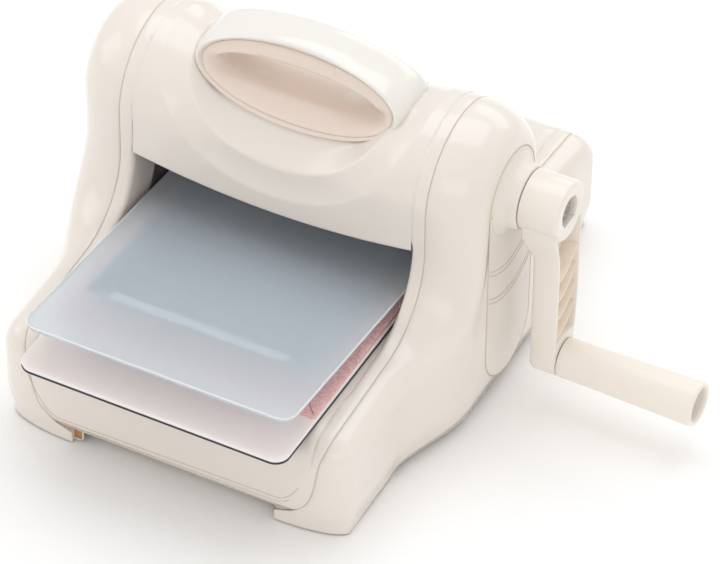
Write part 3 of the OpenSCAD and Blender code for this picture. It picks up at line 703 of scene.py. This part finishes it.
def handleBar():
    rows = []
    turns = 96
    for k in range(turns + 1):
        a = math.radians(mix(handle["barFrom"], handle["barTo"], k / turns))
        gx, gz = ringPoint(a, -0.015)
        spread = (gx - handle["shiftX"]) * handle["barSpread"]
        topX = handle["shiftX"] + spread
        rise = clamp((math.sin(a) + 0.1) / 0.6)
        peak = archTop(clamp(spread, -handle["barHalf"], handle["barHalf"]))
        topZ = mix(gz + 1.0, max(peak, gz + 1.6), smooth(rise))
        front = faceY(gz)
        half = []
        for j in range(17):
            b = math.pi / 2 * j / 16
            y = front * math.cos(b) ** handle["barPower"] if j < 16 else 0.0
            up = math.sin(b) ** handle["barPower"] if j else 0.0
            half.append((mix(gx, topX, up), y, mix(gz, topZ, up)))
        lip = [(gx * 0.99, front - 1.5, gz), (gx * 0.998, front - 0.4, gz), (gx, front - 0.1, gz)]
        share = handle["backShare"]
        row = [(x, -y, z) for x, y, z in lip + half] + [(x, y * share, z) for x, y, z in (lip + half)[-2::-1]]
        rows.append(row)
    return surface("handleBar", rows)


place(joined("ringSeams", [ringCord("seam", handle["seamT"], 0.22, face) for face in (-1, 1)]), grooveShade,
      "machine")
place(handleBar(), ivoryGloss, "machine", ("carry_handle",))


def badgePlate():
    rows = []
    for i in range(13):
        t = mix(0.2, 0.88, i / 12)
        row = []
        for k in range(33):
            x0 = mix(-handle["badgeHalf"], handle["badgeHalf"], k / 32)
            lowA, highA = 0.0, math.pi
            for _ in range(30):
                a = (lowA + highA) / 2
                if ringPoint(a, t)[0] > x0:
                    lowA = a
                else:
                    highA = a
            x, z = ringPoint(a, t)
            edge = min(i, 12 - i, k, 32 - k)
            row.append((x, -(faceY(z) - 1.42 + (0.22 if edge else -0.5)), z))
        rows.append(row)
    return surface("handleBadge", rows)


place(badgePlate(), liningPaintedShade, "machine", ("handle_badge",))
print("handle made")

# side panels, their grooves and the collar round the crank
# a groove is given by its height in the middle and its rise at the ends
panel = {
    "radius": 25.0, "lowZ": 37.0, "lineGap": 3.2,
    "single": [(112.5, 22.0)], "double": [(88.0, 9.0), (69.0, 9.0)],
}


def racetrack(radius):
    loop = []
    for start, centreZ in ((0.0, body["axisZ"]), (math.pi, panel["lowZ"])):
        for k in range(28):
            a = start + math.pi * k / 27
            loop.append((radius * math.cos(a), centreZ + radius * math.sin(a)))
    return loop


def sidePanel(name, side):
    rows = []
    out = body["outerX"]
    r = panel["radius"]
    for radius, x in ((r + 0.2, out - 1.5), (r, out + 0.05), (r - 0.3, out + 0.3), (r - 1.2, out + 0.36),
                      (r - 6, out + 0.36), (6, out + 0.36), (0.01, out + 0.36)):
        rows.append([(x * side, y, z) for y, z in racetrack(radius)])
    return surface(name, rows, closeColumns=True)


for side, word in ((-1, "left"), (1, "right")):
    place(sidePanel(word + "SidePanel", side), ivoryPanel, "machine",
          (word + "_side_panel",))
    border = [((body["outerX"] + 0.02) * side, y, z) for y, z in racetrack(panel["radius"] + 0.35)]
    cords = [tube("border", border, 0.34, closed=True)]
    lines = panel["single"] + [(z - gap, rise) for z, rise in panel["double"]
                               for gap in (0.0, panel["lineGap"])]
    for lineZ, rise in lines:
        path = []
        for k in range(25):
            t = mix(-1, 1, k / 24)
            path.append(((body["outerX"] + 0.33) * side, t * (panel["radius"] - 0.8), lineZ + rise * (t * t)))
        cords.append(tube("line", path, 0.24))
    place(joined(word + "PanelGrooves", cords), grooveShade, "machine")

collarProfile = [(118.0, 23.2), (118.9, 23.2), (119.4, 22.6), (120.2, 20.4), (122.0, 18.6), (125.0, 17.9),
                 (128.2, 17.6), (128.9, 17.2), (129.0, 16.4), (128.6, 9.4)]
place(lathe("crankCollar", collarProfile, 0, body["axisZ"]), ivoryPanel, "machine",
      ("crank_collar",))


# fine grooves on the front: two lines that sweep up at their ends
smile = {
    "leftX": -85.5, "rightX": 74.5, "leftRun": 19.5, "rightRun": 14.5, "midZ": 15.4, "tilt": 0.018,
    "leftRise": 24.0, "rightRise": 12.0, "gap": 2.6,
}


def smilePath(drop):
    path = []
    for k in range(61):
        x = mix(smile["leftX"], smile["rightX"], k / 60)
        left = clamp((smile["leftX"] + smile["leftRun"] - x) / smile["leftRun"])
        right = clamp((x - smile["rightX"] + smile["rightRun"]) / smile["rightRun"])
        path.append((x, -body["frontDepth"] + 0.12, smile["midZ"] + x * smile["tilt"] - drop
                     + smile["leftRise"] * left ** 2.2 + smile["rightRise"] * right ** 2.4))
    return path


grooves = [tube("groove", smilePath(0.0), 0.30), tube("groove", smilePath(smile["gap"])[3:-2], 0.26)]
place(joined("frontGrooves", grooves), grooveShade, "machine")
print("side panels and grooves made")

# the crank: hub, arm with a ribbed pocket, screw, and the turning grip
crank = {
    "axisZ": 133.5, "gripZ": 33.0, "hubR": 16.7, "hubTo": 152.0, "armFrom": 136.6, "armHalf": 11.0,
    "backWider": 4.2, "waistZ": 101.0, "rootZ": 127.0, "slopeZ": 102.0, "slopeRun": 14.0, "slopeDepth": 6.5,
    "pocket": 9.0, "rim": 1.7, "ribs": [96.0, 83.0, 70.0, 57.0], "ribDepth": 8.5, "ribTilt": 6.0,
    "ribSag": 4.2,
}

hubProfile = [(138.0, 1.0), (129.4, 9.0), (129.4, 15.9), (129.7, 16.5), (130.3, 16.7), (150.4, 16.7),
              (151.4, 16.4), (151.9, 15.7), (152.0, 14.6), (151.9, 9.4), (151.6, 8.7), (150.9, 8.4),
              (146.4, 8.1), (146.2, 7.8), (146.2, 0.2)]
hub = lathe("hub", hubProfile, 0, crank["axisZ"])


def armLoop(inset):
    # the arm's outline from the grip end up into the hub, wider on its back side
    half = crank["armHalf"] - inset
    waist, root, wider = crank["waistZ"], crank["rootZ"], crank["backWider"]
    loop = []
    for k in range(17):
        a = math.pi * k / 16
        loop.append((half * math.cos(a), crank["gripZ"] - half * math.sin(a)))
    for k in range(1, 5):
        loop.append((-half, mix(crank["gripZ"], waist, k / 5)))
    for k in range(9):
        t = k / 8
        wide = mix(half, crank["hubR"] - 1.2 - inset, smooth(t))
        loop.append((-wide, mix(waist, root, t)))
    for k in range(9):
        t = 1 - k / 8
        wide = mix(half + wider, crank["hubR"] - 1.2 - inset, smooth(t))
        loop.append((wide, mix(waist, root, t)))
    for k in range(1, 9):
        taper = math.sin(math.pi / 2 * clamp(1.6 * (1 - k / 9)))
        loop.append((half + wider * taper, mix(waist, crank["gripZ"], k / 9)))
    return loop


def pocketLoop(inset):
    # the same outline, stopped short of the hub and of the grip
    loop = []
    for y, z in armLoop(inset):
        z = max(z, crank["gripZ"] + 12.5 + inset - 0.12 * abs(y))
        reach = math.sqrt(max(0.0, (crank["hubR"] + 1.2) ** 2 - y * y))
        loop.append((y, min(z, crank["axisZ"] - reach - (inset - 2))))
    return loop


def armBody():
    back, front = crank["armFrom"], crank["hubTo"] - 0.1
    rows = []
    for x, inset in ((back, 6.0), (back, 2.6), (back + 0.5, 1.2), (back + 1.4, 0.35), (back + 2.6, 0.0),
                     (front - 1.0, 0.0), (front - 0.25, 0.3), (front, 0.9)):
        # towards the hub the back of the arm slopes in to meet the hub's inner face
        rows.append([(x - crank["slopeDepth"] * smooth((z - crank["slopeZ"]) / crank["slopeRun"])
                      * (front - x) / (front - back), y, z) for y, z in armLoop(inset)])
    rim = crank["rim"]
    for x, inset in ((front, rim), (front - 0.4, rim + 0.3), (front - crank["pocket"], rim + 0.7)):
        rows.append([(x, y, z) for y, z in pocketLoop(inset)])
    return sharpShading(capEnds(surface("arm", rows, closeColumns=True)), 40)


def armRib(z):
    rows = []
    front = crank["hubTo"] - 1.0
    for k in range(13):
        t = mix(-1, 1, k / 12)
        y = t * (crank["armHalf"] - crank["rim"]) + (t + 1) / 2 * crank["backWider"]
        mid = z + crank["ribTilt"] * t - crank["ribSag"] * (1 - t * t)
        half = [(front - crank["ribDepth"], 0.9), (front - 0.3, 0.65), (front, 0.4)]
        rows.append([(x, y, mid - wide) for x, wide in half] + [(x, y, mid + wide) for x, wide in half[::-1]])
    return surface("rib", rows)


# the ribs carry painted shade for the pocket
place(joined("crankRibs", [armRib(z) for z in crank["ribs"]]), ribPaintedShade, "crank")
arm = joined("crankArm", [hub, armBody()])
sharpShading(arm, 42)
place(arm, warmCrank, "crank", ("crank_arm",))

gripProfile = [(154.0, 5.2), (152.3, 5.4), (152.2, 10.0), (152.4, 10.7), (153.0, 11.0), (157.0, 11.0),
               (170.0, 11.1), (200.0, 11.7), (224.0, 12.3), (228.6, 12.4), (229.9, 12.2), (230.7, 11.6),
               (230.9, 10.9), (230.7, 10.0), (230.0, 9.4), (228.5, 9.2), (221.0, 9.0), (220.6, 8.6),
               (220.6, 7.5)]
place(lathe("crankGrip", gripProfile, 0, crank["gripZ"], 96), warmGrip, "grip",
      ("crank_grip",))

headProfile = [(146.4, 7.4), (147.2, 7.2), (147.3, 6.8), (147.3, 4.6), (147.4, 4.3), (149.4, 4.3),
               (150.0, 3.9), (150.3, 3.0), (150.1, 2.0), (149.0, 1.4), (148.6, 0.2)]
place(lathe("screwHead", headProfile, 0, crank["axisZ"], 48), darkSteel, "crank",
      ("crank_screw",))
print("crank made")

# the sandwich of plates in the feed mouth
plates = {
    "half": 78.0, "front": 173.3, "back": 64.0, "corner": 8.0, "sheetZ": 63.8, "sheetT": 1.0, "baseT": 2.4,
    "matT": 2.0, "matFront": 137.0, "folderFront": 118.0, "spineY": 26.0, "cutLength": 229.0, "cutBack": 36.0,
    "cutT": 3.0, "leafT": 0.8, "pitch": 4.8, "baseTrim": 0.3,
}


def plateLoop(half, y0, y1, r, inset):
    loop = []
    for cx, cy, start in ((half - r, y1 - r, 0), (-half + r, y1 - r, 90), (-half + r, y0 + r, 180),
                          (half - r, y0 + r, 270)):
        for k in range(9):
            a = math.radians(start + 90 * k / 8)
            loop.append((cx + (r - inset) * math.cos(a), cy + (r - inset) * math.sin(a)))
    return loop


def plate(name, half, y0, y1, r, low, thick, edge, lift=None):
    # a flat sheet between y0 and y1 with corner radius r and its edges rounded by edge
    rows = []
    for z, inset in ((low, edge + 1.5), (low, edge), (low + edge * 0.4, edge * 0.25), (low + edge, 0.0),
                     (low + thick - edge, 0.0), (low + thick - edge * 0.4, edge * 0.25),
                     (low + thick, edge), (low + thick, edge + 1.5)):
        rows.append([(x, y, z) for x, y in plateLoop(half, y0, y1, r, inset)])
    if lift:
        rows = [[lift(point) for point in row] for row in rows]
    return sharpShading(capEnds(surface(name, rows, closeColumns=True)), 50)


baseZ = plates["sheetZ"] + plates["sheetT"]
matZ = baseZ + plates["baseT"]
leafZ = matZ + plates["matT"]
hingeZ = leafZ + plates["leafT"] + 0.15
cutFront = plates["cutBack"] - plates["cutLength"]
trim = plates["baseTrim"]


def pitched(point):
    # tips a point of the open leaf up about the folder's spine
    a = math.radians(-plates["pitch"])
    x, y, z = point
    return (x, plates["spineY"] + y * math.cos(a) - z * math.sin(a),
            hingeZ + y * math.sin(a) + z * math.cos(a))


place(plate("darkUnderSheet", plates["half"], -plates["front"], plates["back"], plates["corner"],
            plates["sheetZ"], plates["sheetT"], 0.2),
      darkSheetFilm, "sandwich", ("base_sheet",))
place(plate("basePlate", plates["half"] - trim, -plates["front"] + trim, plates["back"] - trim,
            plates["corner"] - trim, baseZ, plates["baseT"], 0.5),
      acrylicBase, "sandwich", ("base_plate",))
place(plate("embossingMat", plates["half"] - 1, -plates["matFront"], plates["spineY"] - 4, 1.5, matZ,
            plates["matT"], 0.25),
      pinkMat, "sandwich", ("embossing_mat",))
place(plate("folderLowerLeaf", 68, -plates["folderFront"], plates["spineY"], 3.0, leafZ,
            plates["leafT"], 0.2),
      filmClear, "sandwich", ("folder_lower_leaf",))
place(plate("folderUpperLeaf", 66, -150, 0, 3.0, 0, plates["leafT"], 0.2, pitched),
      filmClear, "folder_top", ("folder_upper_leaf",))
place(plate("cuttingPlate", plates["half"], cutFront, plates["cutBack"], plates["corner"], plates["leafT"],
            plates["cutT"], 0.6, pitched),
      frosted, "folder_top", ("cutting_plate",))
place(plate("folderEdgeStrip", 52, -149.6, -143.6, 2.0, plates["leafT"] - 0.34, 0.39, 0.1, pitched),
      stripFilm, "folder_top")
# pale cords painted as highlights along the plate edges
cutRim = [pitched((x, y, plates["leafT"] + plates["cutT"] - 0.55)) for x, y in
          plateLoop(plates["half"], cutFront, plates["cutBack"], plates["corner"], -0.02)]
place(tube("cuttingPlateRim", cutRim, 0.32, 6, closed=True), rimPaintedHighlight, "folder_top")
baseRim = [(x, y, baseZ + plates["baseT"] - 0.5) for x, y in
           plateLoop(plates["half"] - trim, -plates["front"] + trim, plates["back"] - trim,
                     plates["corner"] - trim, -0.02)]
place(tube("basePlateRim", baseRim, 0.3, 6, closed=True), rimPaintedHighlight, "sandwich")
print("plates made")

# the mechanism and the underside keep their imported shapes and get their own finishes
carried = {
    floorPlastic: ["base_floor"],
    plateSteel: ["left_frame_plate", "right_frame_plate", "tie_rods"],
    brightSteel: ["tie_rod_nuts", "floor_screws", "upper_shaft_clips", "lower_shaft_clips", "crank_washer"],
    bushBronze: ["upper_roller_bushes", "lower_roller_bushes", "crank_bushes"],
    padRubber: ["corner_pads", "centre_pad"],
    rollerSteel: ["upper_roller", "upper_shaft", "lower_roller", "lower_shaft", "crank_shaft",
                  "grip_spindle"],
    gearNylon: ["upper_link_gear", "driven_gear", "lower_link_gear", "crank_pinion"],
}
for material, names in carried.items():
    for name in names:
        for holder in nodes[name].material_slots:
            holder.material = material
print("packed nodes finished:", sum(len(names) for names in carried.values()))

# floor, light and camera
floorReach = 6000
floorMesh = surface("floor", [[(x, y, -0.02) for x in (-floorReach, floorReach)]
                              for y in (-floorReach, floorReach)])
floorMaterial, tree, shader, coords = newFinish("floorPaper")
paper = noiseNode(tree, coords, 3.0, 2.0)
white = rampNode(tree, paper.outputs["Fac"], (0.965, 0.965, 0.965), (0.98, 0.98, 0.98))
tree.links.new(white.outputs["Color"], shader.inputs["Base Color"])
shader.inputs["Roughness"].default_value = 0.9
floorMesh.data.materials.append(floorMaterial)

studio = {"world": 0.84, "top": 6.6, "left": 1.8, "right": 0.6, "back": 2.4, "front": 2.6}
world = bpy.data.worlds.new("studio")
world.use_nodes = True
world.node_tree.nodes["Background"].inputs["Color"].default_value = (1.0, 0.975, 0.945, 1)
world.node_tree.nodes["Background"].inputs["Strength"].default_value = studio["world"]
bpy.context.scene.world = world


def softbox(name, power, spot, aim, width, height, tone=(1, 1, 1)):
    light = bpy.data.lights.new(name, "AREA")
    light.shape = "RECTANGLE"
    light.size, light.size_y = width, height
    light.energy = power
    light.color = tone
    obj = bpy.data.objects.new(name, light)
    bpy.context.scene.collection.objects.link(obj)
    obj.location = spot
    obj.rotation_euler = (Vector(aim) - Vector(spot)).to_track_quat("-Z", "Y").to_euler()


softbox("topSoftbox", studio["top"], (-0.1, 0.35, 1.5), (0.0, 0.0, 0.1), 1.5, 1.1, (0.92, 1.0, 1.09))
softbox("frontSoftbox", studio["front"], (0.5, -1.7, 0.8), (0.0, -0.1, 0.08), 1.4, 0.7, (1.0, 0.97, 0.93))
softbox("leftSoftbox", studio["left"], (-1.3, -0.5, 0.8), (0.0, 0.0, 0.1), 0.7, 0.9)
softbox("rightSoftbox", studio["right"], (1.4, -0.3, 0.6), (0.0, 0.0, 0.1), 0.8, 0.8)
softbox("backSoftbox", studio["back"], (0.2, 1.4, 0.9), (0.0, 0.0, 0.1), 1.2, 0.6)

view = {"azimuth": 27.43, "elevation": 41.705, "roll": 0.652, "lens": 248.85,
        "position": (0.9445, -1.7601, 1.8012)}
azimuth, elevation, roll = (math.radians(view[k]) for k in ("azimuth", "elevation", "roll"))
forward = Vector((-math.sin(azimuth) * math.cos(elevation), math.cos(azimuth) * math.cos(elevation),
                  -math.sin(elevation)))
flat = Vector((math.cos(azimuth), math.sin(azimuth), 0))
upward = flat.cross(forward)
right = flat * math.cos(roll) + upward * math.sin(roll)
up = upward * math.cos(roll) - flat * math.sin(roll)
lensData = bpy.data.cameras.new("productCamera")
lensData.lens = view["lens"]
lensData.sensor_width = 36.0
lensData.clip_start, lensData.clip_end = 0.05, 30.0
camera = bpy.data.objects.new("productCamera", lensData)
bpy.context.scene.collection.objects.link(camera)
camera.matrix_world = Matrix((
    (right.x, up.x, -forward.x, view["position"][0]),
    (right.y, up.y, -forward.y, view["position"][1]),
    (right.z, up.z, -forward.z, view["position"][2]),
    (0, 0, 0, 1)))
bpy.context.scene.camera = camera
bpy.context.scene.view_settings.view_transform = "Standard"
print("floor, light and camera set")
